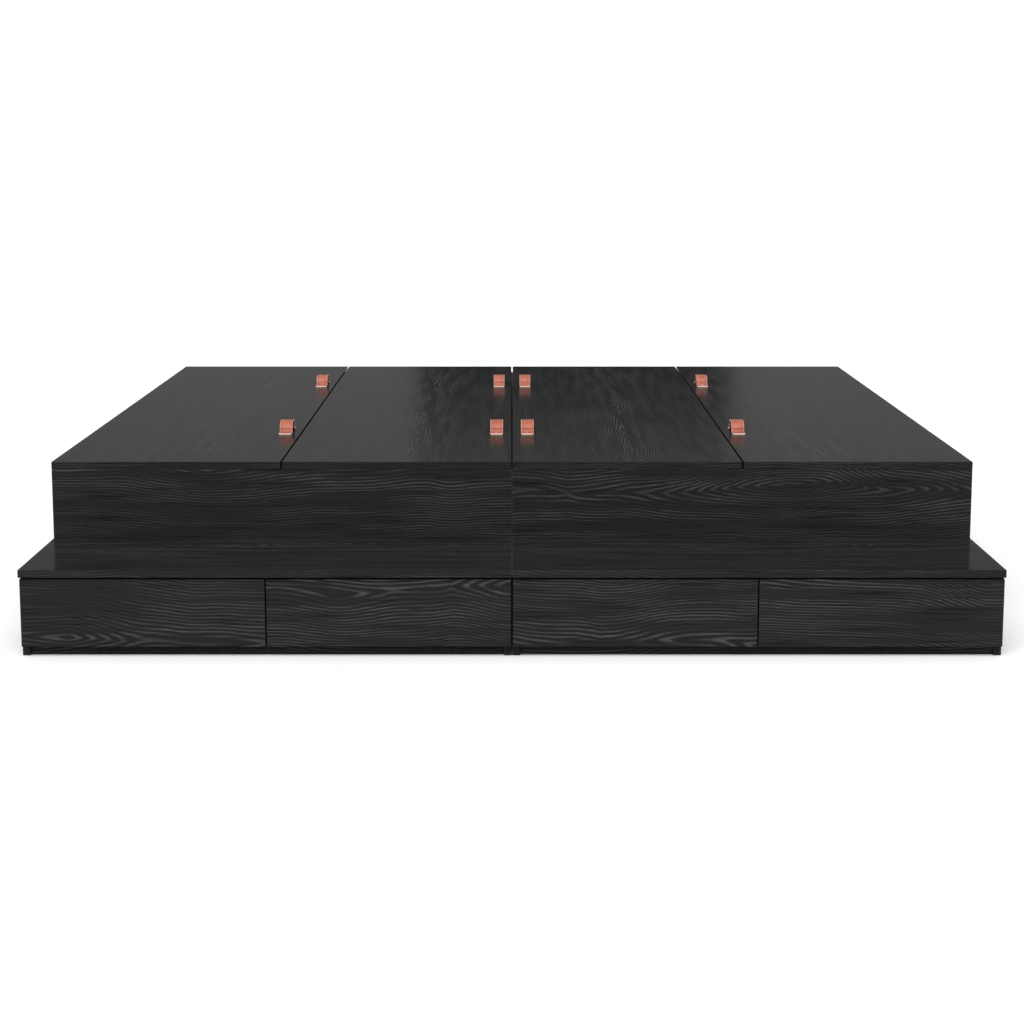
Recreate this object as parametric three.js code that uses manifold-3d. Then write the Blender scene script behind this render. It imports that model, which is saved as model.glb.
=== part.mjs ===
// A platform bed made of two mirrored storage modules that stand side by side.
// Each module is a flat-pack box with two lift-up lids, and a low step in front of it with two drawers.
// Millimetres, +Z up. The origin is on the floor, under the middle of the whole footprint.
// The step faces -Y. A position across the bed is given as a distance u from the middle, times the side's sign.
import * as THREE from "three";
import { mergeVertices } from "three/addons/utils/BufferGeometryUtils.js";
import Module from "manifold-3d";

const wasm = await Module();
wasm.setup();

// Overall sizes
const overallWidth = 2000; // both modules, outer face to outer face
const platformDepth = 2000; // riser face to back face
const platformHeight = 350; // floor to the lids' top
const stepDepth = 360; // step top's front edge to the riser face
const stepHeight = 182; // floor to the step's tread
const moduleSeam = 1; // between the two modules

// Boards
const boardThickness = 16;
const lidThickness = 16;
const floorBoardThickness = 12;
const floorBoardHeight = 20; // floor to the underside of a box's floor board
const jointGap = 0.2; // between boards that are screwed together

// Lids
const lidGap = 4; // between neighbouring lids
const lidRestGap = 0.4; // bumper height, between a lid and the panels under it

// Concealed hinges
const hingeStations = 4; // along each lid
const hingeEndInset = 150; // lid's end to its first hinge
const cupRadius = 17.5;
const cupDepth = 12;
const cupInset = 22.5; // lid's hinge edge to the cup's centre
const cupSegments = 32;
const armWidth = 14;
const armLength = 60; // down the panel's face
const armThickness = 12; // out from the panel's face
const armTopGap = 2; // below the panel's top edge
const noseHeight = 8; // the part that the links pivot on
const noseHalf = 7;
const crankHeight = 18; // below the panel's top edge, where the arm turns towards the cup
const wingWidth = 46; // the mounting plate, along the bed
const wingHeight = 16;
const wingThickness = 3;
const wingDrop = 37; // panel's top edge to the mounting plate's screws

// Strap pulls, two on each lid
const pullLength = 125;
const pullWidth = 30;
const pullHeight = 27;
const strapThickness = 3;
const pullFoot = 28; // flat length at each end
const footBend = 6; // centreline radius where a foot turns up
const legStraight = 0.5; // between a foot's bend and the crown's
const pullInset = 34.5; // lid's free edge to the strap's middle
const pullPlaces = [0.25, 0.75]; // shares of the lid's length
const bendSegments = 8;

// Step carcass
const treadOverhang = 6; // step top in front of the drawer fronts
const plinthHeight = 30;
const plinthSetback = 8; // behind the side panels' front edges

// Drawers
const frontThickness = 16;
const frontTopGap = 4; // a front's top edge to the tread board's underside
const frontLift = 22; // floor to the front's lower edge, which is also the finger grip
const frontReveal = 1.5; // front's outer edges inside the module's faces
const frontGap = 3; // between the two fronts of a module
const closedGap = 0.5; // bumper height, between a closed front and the carcass
const runnerGap = 12.5; // each side, for a roller runner
const sideThickness = 12;
const sideTopGap = 26; // a drawer side's top edge to the tread board's underside
const sideRise = 10; // plinth's top to the drawer side's lower edge
const rearGap = 17.8; // a drawer's rear end to the storage box
const bottomThickness = 3;
const bottomLift = 8; // drawer side's lower edge to the bottom board
const grooveDepth = 6;
const grooveGap = 0.3; // around the bottom board in its groove

// Places that follow from the sizes
const frontY = -(stepDepth + platformDepth) / 2;
const riserY = frontY + stepDepth;
const backY = riserY + platformDepth;
const outerU = overallWidth / 2;
const innerU = moduleSeam / 2;
const carcassTop = platformHeight - lidThickness - lidRestGap;
const lidWidth = (overallWidth - 3 * lidGap) / 4;
const partitionU = lidWidth + lidGap; // the middle of the gap between a module's lids
const panelY = [riserY + boardThickness + jointGap, backY - boardThickness - jointGap];
const frontFaceY = frontY + treadOverhang;
const carcassFrontY = frontFaceY + frontThickness + closedGap;
const plinthY = [carcassFrontY + plinthSetback, carcassFrontY + plinthSetback + boardThickness];
const stepPanelY = [carcassFrontY, riserY - jointGap];
const dividerU = (innerU + outerU) / 2;
const treadUnderside = stepHeight - boardThickness;
const stepPanelTop = treadUnderside - jointGap;
const frontTop = treadUnderside - frontTopGap;
const sideLift = plinthHeight + sideRise;
const sideTop = treadUnderside - sideTopGap;
const sideLength = riserY - rearGap - (frontFaceY + frontThickness + jointGap);

// Materials
const blackOak = new THREE.MeshStandardMaterial({ color: 0x2b2b2c, roughness: 0.45, metalness: 0 });
const drawerBoard = new THREE.MeshStandardMaterial({ color: 0x303031, roughness: 0.6, metalness: 0 });
const hardboard = new THREE.MeshStandardMaterial({ color: 0x3a3734, roughness: 0.75, metalness: 0 });
const tanLeather = new THREE.MeshStandardMaterial({ color: 0xc4704f, roughness: 0.6, metalness: 0 });
const zincSteel = new THREE.MeshStandardMaterial({ color: 0xb4b6b8, roughness: 0.35, metalness: 1 });

const bed = new THREE.Group();

function addPiece(name, geometry, material) {
  const mesh = new THREE.Mesh(geometry, material);
  mesh.name = name;
  bed.add(mesh);
  return mesh;
}

// A rectangular board that fills the three given spans.
function addBoard(name, xSpan, ySpan, zSpan, material = blackOak) {
  const [width, depth, height] = [xSpan, ySpan, zSpan].map(([from, to]) => Math.abs(to - from));
  const mesh = addPiece(name, new THREE.BoxGeometry(width, depth, height), material);
  mesh.position.set(...[xSpan, ySpan, zSpan].map(([from, to]) => (from + to) / 2));
}

// The span across the bed on one side of its middle.
const across = (side, from, to) => [side * from, side * to];

// An outline drawn in the Y-Z plane, as thick along X as asked, centred on x = 0.
function extrudeAcross(outline, thickness) {
  const geometry = new THREE.ExtrudeGeometry(outline, {
    depth: thickness,
    bevelEnabled: false,
    curveSegments: bendSegments,
  });
  const yzPlane = new THREE.Matrix4().makeBasis(
    new THREE.Vector3(0, 1, 0),
    new THREE.Vector3(0, 0, 1),
    new THREE.Vector3(1, 0, 0),
  );
  return geometry.translate(0, 0, -thickness / 2).applyMatrix4(yzPlane);
}

// An outline drawn in the X-Z plane, as long along Y as asked, centred on y = 0.
function extrudeAlong(outline, length) {
  const geometry = new THREE.ExtrudeGeometry(outline, { depth: length, bevelEnabled: false });
  return geometry.translate(0, 0, -length / 2).rotateX(Math.PI / 2);
}

const shapeOf = (points) => new THREE.Shape(points.map(([x, y]) => new THREE.Vector2(x, y)));

function toSolid(geometry) {
  const bare = geometry.clone();
  bare.deleteAttribute("normal");
  bare.deleteAttribute("uv");
  const merged = mergeVertices(bare, 1e-4);
  return new wasm.Manifold(
    new wasm.Mesh({
      numProp: 3,
      vertProperties: merged.attributes.position.array,
      triVerts: new Uint32Array(merged.index.array),
    }),
  );
}

function toGeometry(solid) {
  const { vertProperties, triVerts } = solid.getMesh();
  const geometry = new THREE.BufferGeometry();
  geometry.setAttribute("position", new THREE.BufferAttribute(vertProperties, 3));
  geometry.setIndex(new THREE.BufferAttribute(triVerts, 1));
  geometry.computeVertexNormals();
  return geometry;
}

// The storage box: riser, back, sides, a partition between its two compartments and their floors.
function addBox(module, side) {
  const height = [0, carcassTop];
  const floorZ = [floorBoardHeight, floorBoardHeight + floorBoardThickness];
  const half = boardThickness / 2;
  const clear = boardThickness + jointGap;
  addBoard(`${module}_box_riser`, across(side, innerU, outerU), [riserY, riserY + boardThickness], height);
  addBoard(`${module}_box_back`, across(side, innerU, outerU), [backY - boardThickness, backY], height);
  addBoard(`${module}_box_outer_side`, across(side, outerU - boardThickness, outerU), panelY, height);
  addBoard(`${module}_box_inner_side`, across(side, innerU, innerU + boardThickness), panelY, height);
  addBoard(`${module}_box_partition`, across(side, partitionU - half, partitionU + half), panelY, height);
  addBoard(
    `${module}_box_outer_floor`,
    across(side, partitionU + half + jointGap, outerU - clear),
    panelY,
    floorZ,
  );
  addBoard(
    `${module}_box_inner_floor`,
    across(side, innerU + clear, partitionU - half - jointGap),
    panelY,
    floorZ,
  );
}

// The step's carcass: tread, two sides, a recessed plinth and a divider that is notched over the plinth.
function addStep(module, side) {
  const height = [0, stepPanelTop];
  const clear = boardThickness + jointGap;
  addBoard(
    `${module}_step_top`,
    across(side, innerU, outerU),
    [frontY, riserY - jointGap],
    [treadUnderside, stepHeight],
  );
  addBoard(`${module}_step_outer_side`, across(side, outerU - boardThickness, outerU), stepPanelY, height);
  addBoard(`${module}_step_inner_side`, across(side, innerU, innerU + boardThickness), stepPanelY, height);
  addBoard(
    `${module}_step_plinth`,
    across(side, innerU + clear, outerU - clear),
    plinthY,
    [0, plinthHeight],
  );
  const notchY = plinthY[1] + jointGap;
  const notchZ = plinthHeight + jointGap;
  const outline = shapeOf([
    [stepPanelY[0], notchZ],
    [notchY, notchZ],
    [notchY, 0],
    [stepPanelY[1], 0],
    [stepPanelY[1], stepPanelTop],
    [stepPanelY[0], stepPanelTop],
  ]);
  const divider = addPiece(`${module}_step_divider`, extrudeAcross(outline, boardThickness), blackOak);
  divider.position.x = side * dividerU;
}

// The places along a lid where its hinges stand.
const stationY = (station) => {
  const reach = platformDepth / 2 - hingeEndInset;
  return (riserY + backY) / 2 + reach * ((2 * station) / (hingeStations - 1) - 1);
};

// A lid with a blind bore for each hinge cup in its underside. It hinges on its outer edge.
function addLid(name, side, hingeU) {
  const board = new THREE.BoxGeometry(lidWidth, platformDepth, lidThickness).translate(
    side * (hingeU - lidWidth / 2),
    (riserY + backY) / 2,
    platformHeight - lidThickness / 2,
  );
  const overcut = lidRestGap;
  const boreHeight = cupDepth + overcut;
  const boreZ = platformHeight - lidThickness - overcut + boreHeight / 2;
  let lid = toSolid(board);
  for (let station = 0; station < hingeStations; station++) {
    const bore = new THREE.CylinderGeometry(cupRadius, cupRadius, boreHeight, cupSegments)
      .rotateX(Math.PI / 2)
      .translate(side * (hingeU - cupInset), stationY(station), boreZ);
    lid = lid.subtract(toSolid(bore));
  }
  addPiece(name, toGeometry(lid), blackOak);
}

// A hinge's arm on its winged mounting plate, screwed to the face of the panel under the lid's hinge edge.
// faceU is that face, and the arm stands out from it towards the bed's middle.
function addHingeArm(name, side, hingeU, faceU) {
  const cup = cupInset - (hingeU - faceU); // face to the cup's centre
  const heel = Math.max(cup - noseHalf + 1, jointGap);
  const out = (distance) => side * (faceU - distance);
  const outline = shapeOf(
    [
      [jointGap, -armLength],
      [armThickness, -armLength],
      [armThickness, -crankHeight],
      [cup + noseHalf, -armTopGap - noseHeight],
      [cup + noseHalf, -armTopGap],
      [heel, -armTopGap],
      [heel, -armTopGap - noseHeight / 2],
      [jointGap, -crankHeight],
    ].map(([distance, below]) => [out(distance), carcassTop + below]),
  );
  const arm = extrudeAlong(outline, armWidth);
  const wing = new THREE.BoxGeometry(wingThickness, wingWidth, wingHeight).translate(
    out(jointGap + wingThickness / 2),
    0,
    carcassTop - wingDrop,
  );
  const mesh = addPiece(name, toGeometry(toSolid(arm).add(toSolid(wing))), zincSteel);
  mesh.position.y = stationY(0);
}

// The side view of a strap that lies flat at both ends and arches between them, standing on z = 0.
function strapOutline() {
  const half = strapThickness / 2;
  const leg = pullLength / 2 - pullFoot - footBend; // strap's middle to a leg's centreline
  const footZ = half + footBend;
  const crownBend = pullHeight - strapThickness - footBend - legStraight;
  const crownZ = pullHeight - half - crownBend;
  const [right, up, left, down] = [0, Math.PI / 2, Math.PI, -Math.PI / 2];
  const outline = new THREE.Shape();
  outline.moveTo(-pullLength / 2, strapThickness);
  outline.absarc(-leg - footBend, footZ, footBend - half, down, right, false);
  outline.absarc(-leg + crownBend, crownZ, crownBend + half, left, up, true);
  outline.absarc(leg - crownBend, crownZ, crownBend + half, up, right, true);
  outline.absarc(leg + footBend, footZ, footBend - half, left, 3 * up, false);
  outline.lineTo(pullLength / 2, strapThickness);
  outline.lineTo(pullLength / 2, 0);
  outline.absarc(leg + footBend, footZ, footBend + half, 3 * up, left, true);
  outline.absarc(leg - crownBend, crownZ, crownBend - half, right, up, false);
  outline.absarc(-leg + crownBend, crownZ, crownBend - half, up, left, false);
  outline.absarc(-leg - footBend, footZ, footBend + half, right, down, true);
  outline.lineTo(-pullLength / 2, 0);
  return outline;
}

// Two strap pulls near the free edge of a lid.
function addPulls(lid, side, freeU) {
  ["front", "rear"].forEach((place, i) => {
    const pull = addPiece(`${lid}_${place}_pull`, extrudeAcross(strapOutline(), pullWidth), tanLeather);
    pull.position.set(
      side * (freeU + pullInset),
      riserY + pullPlaces[i] * platformDepth,
      platformHeight + jointGap,
    );
  });
}

// A drawer: front, two grooved sides, a back that stands on the bottom board, and the bottom board.
// clearU is the opening's span between its panels, and frontU the span that the front covers.
function addDrawer(drawer, side, clearU, frontU) {
  const boxU = [clearU[0] + runnerGap, clearU[1] - runnerGap];
  const sideFrontY = frontFaceY + frontThickness + jointGap;
  const sideRearY = sideFrontY + sideLength;
  const sideMiddleY = (sideFrontY + sideRearY) / 2;
  const bottomZ = [sideLift + bottomLift, sideLift + bottomLift + bottomThickness];
  addBoard(
    `${drawer}_front`,
    across(side, ...frontU),
    [frontFaceY, frontFaceY + frontThickness],
    [frontLift, frontTop],
  );
  // Each side's outer face, and the direction from it into the drawer.
  const faces = [
    [boxU[0] * side, side],
    [boxU[1] * side, -side],
  ].sort((a, b) => a[0] - b[0]);
  ["left", "right"].forEach((hand, i) => {
    const [face, inward] = faces[i];
    const inner = face + inward * sideThickness;
    const groove = inner - inward * grooveDepth;
    const outline = shapeOf([
      [face, sideLift],
      [inner, sideLift],
      [inner, bottomZ[0] - grooveGap],
      [groove, bottomZ[0] - grooveGap],
      [groove, bottomZ[1] + grooveGap],
      [inner, bottomZ[1] + grooveGap],
      [inner, sideTop],
      [face, sideTop],
    ]);
    const board = addPiece(`${drawer}_${hand}_side`, extrudeAlong(outline, sideLength), drawerBoard);
    board.position.y = sideMiddleY;
  });
  addBoard(
    `${drawer}_back`,
    across(side, boxU[0] + sideThickness + jointGap, boxU[1] - sideThickness - jointGap),
    [sideRearY - sideThickness, sideRearY],
    [bottomZ[1] + jointGap, sideTop],
    drawerBoard,
  );
  const grooved = sideThickness - grooveDepth + grooveGap;
  addBoard(
    `${drawer}_bottom`,
    across(side, boxU[0] + grooved, boxU[1] - grooved),
    [sideFrontY, sideRearY],
    bottomZ,
    hardboard,
  );
}

const modules = [
  { module: "left", side: -1 },
  { module: "right", side: 1 },
];
for (const { module, side } of modules) {
  addBox(module, side);
  addStep(module, side);

  // Lids and drawers are numbered from the left, so a module's outer one is the first or the last.
  const numbers = side < 0 ? { outer: 1, inner: 2 } : { outer: 4, inner: 3 };
  const lids = [
    { number: numbers.outer, hingeU: outerU, faceU: outerU - boardThickness },
    { number: numbers.inner, hingeU: lidGap / 2 + lidWidth, faceU: partitionU - boardThickness / 2 },
  ];
  for (const { number, hingeU, faceU } of lids) {
    const lid = `lid_${number}`;
    addLid(lid, side, hingeU);
    addHingeArm(`${lid}_hinge_arm`, side, hingeU, faceU);
    addPulls(lid, side, hingeU - lidWidth);
  }

  const halfBoard = boardThickness / 2;
  const halfGap = frontGap / 2;
  addDrawer(
    `drawer_${numbers.outer}`,
    side,
    [dividerU + halfBoard, outerU - boardThickness],
    [dividerU + halfGap, outerU - frontReveal],
  );
  addDrawer(
    `drawer_${numbers.inner}`,
    side,
    [innerU + boardThickness, dividerU - halfBoard],
    [innerU + frontReveal, dividerU - halfGap],
  );
}

export default bed;
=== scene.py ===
import math

import bmesh
import bpy
from mathutils import Matrix, Vector


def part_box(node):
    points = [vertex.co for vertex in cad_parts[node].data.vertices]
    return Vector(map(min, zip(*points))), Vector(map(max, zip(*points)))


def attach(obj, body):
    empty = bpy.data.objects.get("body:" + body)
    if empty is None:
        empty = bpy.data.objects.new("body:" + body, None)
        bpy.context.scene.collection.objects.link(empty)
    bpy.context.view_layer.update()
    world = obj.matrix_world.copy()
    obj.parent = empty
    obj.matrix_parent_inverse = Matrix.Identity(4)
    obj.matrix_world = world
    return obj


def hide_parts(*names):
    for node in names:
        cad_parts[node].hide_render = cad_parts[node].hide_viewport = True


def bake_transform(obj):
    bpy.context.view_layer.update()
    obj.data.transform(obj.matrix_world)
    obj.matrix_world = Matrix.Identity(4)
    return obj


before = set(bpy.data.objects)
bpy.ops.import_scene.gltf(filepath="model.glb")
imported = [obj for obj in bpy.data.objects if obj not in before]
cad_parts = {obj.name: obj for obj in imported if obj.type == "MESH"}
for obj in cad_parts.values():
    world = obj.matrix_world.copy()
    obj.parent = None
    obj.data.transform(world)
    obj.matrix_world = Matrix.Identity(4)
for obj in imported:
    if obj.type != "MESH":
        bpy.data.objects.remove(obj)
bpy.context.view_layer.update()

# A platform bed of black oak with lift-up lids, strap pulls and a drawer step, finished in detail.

bl_info = {
    "name": "Black oak platform bed",
    "version": (1, 0, 0),
    "blender": (4, 5, 0),
    "location": "3D View > Sidebar > Bed",
    "description": "Builds the boards, pulls, hinges and runners of a platform bed with drawers",
    "category": "Add Mesh",
}

MODULES = {"left": -1, "right": 1}
LIDS = {"lid_1": -1, "lid_2": -1, "lid_3": 1, "lid_4": 1}
OUTER_LIDS = ("lid_1", "lid_4")
DRAWERS = ("drawer_1", "drawer_2", "drawer_3", "drawer_4")
X, Y, Z = 0, 1, 2


def srgb(code):
    """Linear red, green, blue and alpha from a hex colour."""
    channels = [int(code[i : i + 2], 16) / 255 for i in (1, 3, 5)]
    return (*(c / 12.92 if c <= 0.04045 else ((c + 0.055) / 1.055) ** 2.4 for c in channels), 1)


class BedSizes(bpy.types.PropertyGroup):
    edge_radius: bpy.props.FloatProperty(
        name="Edge radius",
        description="Rounding of the boards' banded edges",
        default=0.0008,
        min=0.0002,
        max=0.003,
        unit="LENGTH",
    )
    ring_width: bpy.props.FloatProperty(
        name="Ring width",
        description="Distance between the growth rings of the oak",
        default=0.0056,
        min=0.002,
        max=0.02,
        unit="LENGTH",
    )
    screw_head: bpy.props.FloatProperty(
        name="Screw head",
        description="Width of the pull screws' heads",
        default=0.0085,
        min=0.004,
        max=0.014,
        unit="LENGTH",
    )


class BedColours(bpy.types.PropertyGroup):
    oak_ground: bpy.props.FloatVectorProperty(
        name="Oak ground",
        description="Black stain between the growth rings",
        default=srgb("#1e1e1e"),
        min=0,
        max=1,
        size=4,
        subtype="COLOR",
    )
    oak_line: bpy.props.FloatVectorProperty(
        name="Oak line",
        description="Greyer stain on the growth rings",
        default=srgb("#414141"),
        min=0,
        max=1,
        size=4,
        subtype="COLOR",
    )
    leather: bpy.props.FloatVectorProperty(
        name="Leather",
        description="Grain side of the strap pulls",
        default=srgb("#9c4e36"),
        min=0,
        max=1,
        size=4,
        subtype="COLOR",
    )
    # Pale colour of the strap's edges: partly the undyed cut leather, partly a painted highlight of light
    # catching the edges.
    leather_edge_and_highlight: bpy.props.FloatVectorProperty(
        name="Leather edge",
        description="Cut edge of the strap pulls",
        default=srgb("#e2c8ba"),
        min=0,
        max=1,
        size=4,
        subtype="COLOR",
    )
    drawer_board: bpy.props.FloatVectorProperty(
        name="Drawer board",
        description="Laminate of the drawer boxes",
        default=srgb("#2c2c2e"),
        min=0,
        max=1,
        size=4,
        subtype="COLOR",
    )


def sizes():
    return bpy.context.scene.bed_sizes


def colours():
    return bpy.context.scene.bed_colours


# Materials

SMOOTH = {"interpolation_type": "SMOOTHSTEP"}
# A Mix of colours: input 0 is the share of the second one, and inputs 6 and 7 are the two colours.
COLOUR_MIX = {"out": 2, "data_type": "RGBA"}


def shade(colour, factor):
    """The colour made darker or lighter."""
    return (*(min(1, c * factor) for c in colour[:3]), 1)


def add(tree, kind, inputs=(), out=0, **settings):
    """The output of a new node; its inputs, by place or name, are values or other nodes' outputs."""
    node = tree.nodes.new("ShaderNode" + kind)
    for name, value in settings.items():
        setattr(node, name, value)
    pairs = inputs.items() if isinstance(inputs, dict) else enumerate(inputs)
    for socket, value in pairs:
        if isinstance(value, bpy.types.NodeSocket):
            tree.links.new(value, node.inputs[socket])
        elif value is not None:
            node.inputs[socket].default_value = value
    return node.outputs[out] if node.outputs else None


def new_material(name):
    material = bpy.data.materials.new(name)
    material.use_nodes = True
    material.node_tree.nodes.clear()
    return material, material.node_tree


def streaks(tree, place, repeats, detail=2.0, roughness=0.5):
    """An irregular pattern with so many repeats to the metre along each axis."""
    stretched = add(tree, "VectorMath", (place, repeats), operation="MULTIPLY")
    settings = {"Vector": stretched, "Scale": 1.0, "Detail": detail, "Roughness": roughness}
    return add(tree, "TexNoise", settings)


def black_oak():
    """Melamine board with a black-stained oak decor, pressed so that the figure is embossed.

    Its even, thin sheen shows most at a low angle, and the growth rings are greyer, slightly duller lines.
    The attribute oak_place gives each corner's place along the trunk, across it and above its heart.
    """
    material, tree = new_material("black_oak_melamine")
    place = add(tree, "Attribute", attribute_name="oak_place", out="Vector")
    along = add(tree, "SeparateXYZ", (place,))
    across = add(tree, "SeparateXYZ", (place,), out=1)
    height = add(tree, "SeparateXYZ", (place,), out=2)
    flat = add(tree, "CombineXYZ", (along, across))
    # The trunk's heart bows up to 50 mm to either side of its middle line.
    bow_width = 0.10
    bow = streaks(tree, flat, (2.3, 0.9, 1), 2.0, 0.4)
    across = add(tree, "Math", (bow, bow_width, across), operation="MULTIPLY_ADD")
    across = add(tree, "Math", (across, bow_width / 2), operation="SUBTRACT")
    across = add(tree, "Math", (across,), operation="ABSOLUTE")
    # The saw cuts the trunk nearest its heart every metre or so, which draws the long pointed arches.
    half_arch, climb, lean_height, level = 0.48, 0.085, 0.12, 0.075
    nearing = add(tree, "Math", (along, half_arch), operation="PINGPONG")
    lean = streaks(tree, flat, (1.7, 1.2, 1), 2.0, 0.4)
    height = add(tree, "Math", (nearing, climb, height), operation="MULTIPLY_ADD")
    height = add(tree, "Math", (lean, lean_height, height), operation="MULTIPLY_ADD")
    height = add(tree, "Math", (height, level), operation="SUBTRACT")
    height = add(tree, "Math", (height,), operation="ABSOLUTE")
    # An exponent below 2 gives the arches the pointed tips of flat-sawn oak.
    tip = 1.35
    sideways = add(tree, "Math", (across, tip), operation="POWER")
    upwards = add(tree, "Math", (height, tip), operation="POWER")
    radius = add(tree, "Math", (sideways, upwards), operation="ADD")
    radius = add(tree, "Math", (radius, 1 / tip), operation="POWER")
    wander = streaks(tree, flat, (6, 30, 1), 3.0)
    rings = add(tree, "Math", (radius, sizes().ring_width), operation="DIVIDE")
    rings = add(tree, "Math", (wander, 1.5, rings), operation="MULTIPLY_ADD")
    ring = add(tree, "Math", (rings,), operation="FRACT")
    # Each line has a sharp side towards the heart and a soft one away from it.
    rise = add(tree, "MapRange", (ring, 0.0, 0.16), **SMOOTH)
    fall = add(tree, "MapRange", (ring, 0.28, 0.62, 1.0, 0.0), **SMOOTH)
    line = add(tree, "Math", (rise, fall), operation="MULTIPLY")
    # Some rings are strong and some faint, and each fades in and out along the board.
    strength = streaks(tree, flat, (3.2, 44, 1), 1.0)
    strength = add(tree, "MapRange", (strength, 0.36, 0.64, 0.12, 1.0), **SMOOTH)
    line = add(tree, "Math", (line, strength), operation="MULTIPLY")
    # Away from the heart the rings stand close together and the stain evens them out.
    reach = add(tree, "Math", (radius, 0.001), operation="ADD")
    tight = add(tree, "Math", (across, reach), operation="DIVIDE")
    tight = add(tree, "MapRange", (tight, 0.35, 0.95, 1.0, 0.5), **SMOOTH)
    line = add(tree, "Math", (line, tight), operation="MULTIPLY")
    # Fibres are 0.2 mm wide in real oak; here they are 3 mm wide, so that they still show.
    fibre = streaks(tree, flat, (18, 330, 1), 2.0, 0.6)
    broken = add(tree, "MapRange", (fibre, 0.3, 0.7, 0.5, 1.0), **SMOOTH)
    shown = add(tree, "Math", (line, broken), operation="MULTIPLY")
    colour = add(tree, "Mix", {0: shown, 6: colours().oak_ground, 7: colours().oak_line}, **COLOUR_MIX)
    # Open grain lines, 4 mm apart and up to 150 mm long, and between them the 1 mm pores of oak.
    open_grain = streaks(tree, flat, (6, 240, 1), 1.0)
    open_grain = add(tree, "MapRange", (open_grain, 0.58, 0.70, 0.0, 0.6), **SMOOTH)
    pore = streaks(tree, flat, (60, 900, 1), 1.0)
    pore = add(tree, "MapRange", (pore, 0.60, 0.72, 0.0, 0.45), **SMOOTH)
    dark = add(tree, "Math", (open_grain, pore), operation="MAXIMUM")
    colour = add(tree, "Mix", {0: dark, 6: colour, 7: srgb("#0b0b0b")}, **COLOUR_MIX)
    gloss = add(tree, "Math", (fibre, 0.05, 0.10), operation="MULTIPLY_ADD")
    gloss = add(tree, "Math", (line, 0.10, gloss), operation="MULTIPLY_ADD")
    relief = add(tree, "Math", (dark, -0.8, line), operation="MULTIPLY_ADD")
    relief = add(tree, "Bump", {"Height": relief, "Distance": 0.0001, "Strength": 0.7}, out="Normal")
    skin = {"Base Color": colour, "Roughness": gloss, "Specular IOR Level": 0.01, "Normal": relief}
    add(tree, "OutputMaterial", (add(tree, "BsdfPrincipled", skin),))
    return material


def drawer_laminate():
    """Plain dark laminate on drawer board: a fine even mat with a faint straight grain."""
    material, tree = new_material("dark_drawer_laminate")
    place = add(tree, "TexCoord", out="Object")
    streak = streaks(tree, place, (160, 7, 260))
    ground = colours().drawer_board
    shown = add(tree, "MapRange", (streak, 0.3, 0.7))
    colour = add(tree, "Mix", {0: shown, 6: shade(ground, 0.8), 7: shade(ground, 1.25)}, **COLOUR_MIX)
    gloss = add(tree, "Math", (streak, 0.12, 0.42), operation="MULTIPLY_ADD")
    relief = add(tree, "Bump", {"Height": streak, "Distance": 0.00008, "Strength": 0.3}, out="Normal")
    skin = {"Base Color": colour, "Roughness": gloss, "Specular IOR Level": 0.3, "Normal": relief}
    add(tree, "OutputMaterial", (add(tree, "BsdfPrincipled", skin),))
    return material


def hardboard():
    """Thin pressed fibre board with a dark lacquer: dull, with a fleck of short fibres."""
    material, tree = new_material("lacquered_hardboard")
    place = add(tree, "TexCoord", out="Object")
    fleck = streaks(tree, place, (420, 420, 420), 3.0, 0.7)
    shown = add(tree, "MapRange", (fleck, 0.35, 0.65))
    colour = add(tree, "Mix", {0: shown, 6: srgb("#262422"), 7: srgb("#3a3632")}, **COLOUR_MIX)
    relief = add(tree, "Bump", {"Height": fleck, "Distance": 0.0001, "Strength": 0.3}, out="Normal")
    skin = {"Base Color": colour, "Roughness": 0.7, "Normal": relief}
    add(tree, "OutputMaterial", (add(tree, "BsdfPrincipled", skin),))
    return material


def chipboard():
    """Raw particle board, seen inside the hinge bores: pale brown chips of 2 to 4 mm pressed flat."""
    material, tree = new_material("raw_particle_board")
    place = add(tree, "TexCoord", out="Object")
    stretched = add(tree, "VectorMath", (place, (300, 300, 900)), operation="MULTIPLY")
    chip = add(tree, "TexVoronoi", {"Vector": stretched, "Scale": 1.0}, out="Color")
    hollow = add(tree, "TexVoronoi", {"Vector": stretched, "Scale": 1.0}, out="Distance")
    tone = add(tree, "SeparateXYZ", (chip,))
    colour = add(tree, "Mix", {0: tone, 6: srgb("#8a6a48"), 7: srgb("#c8a878")}, **COLOUR_MIX)
    relief = add(tree, "Bump", {"Height": hollow, "Distance": 0.0004, "Strength": 0.6}, out="Normal")
    skin = {"Base Color": colour, "Roughness": 0.85, "Normal": relief}
    add(tree, "OutputMaterial", (add(tree, "BsdfPrincipled", skin),))
    return material


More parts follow.
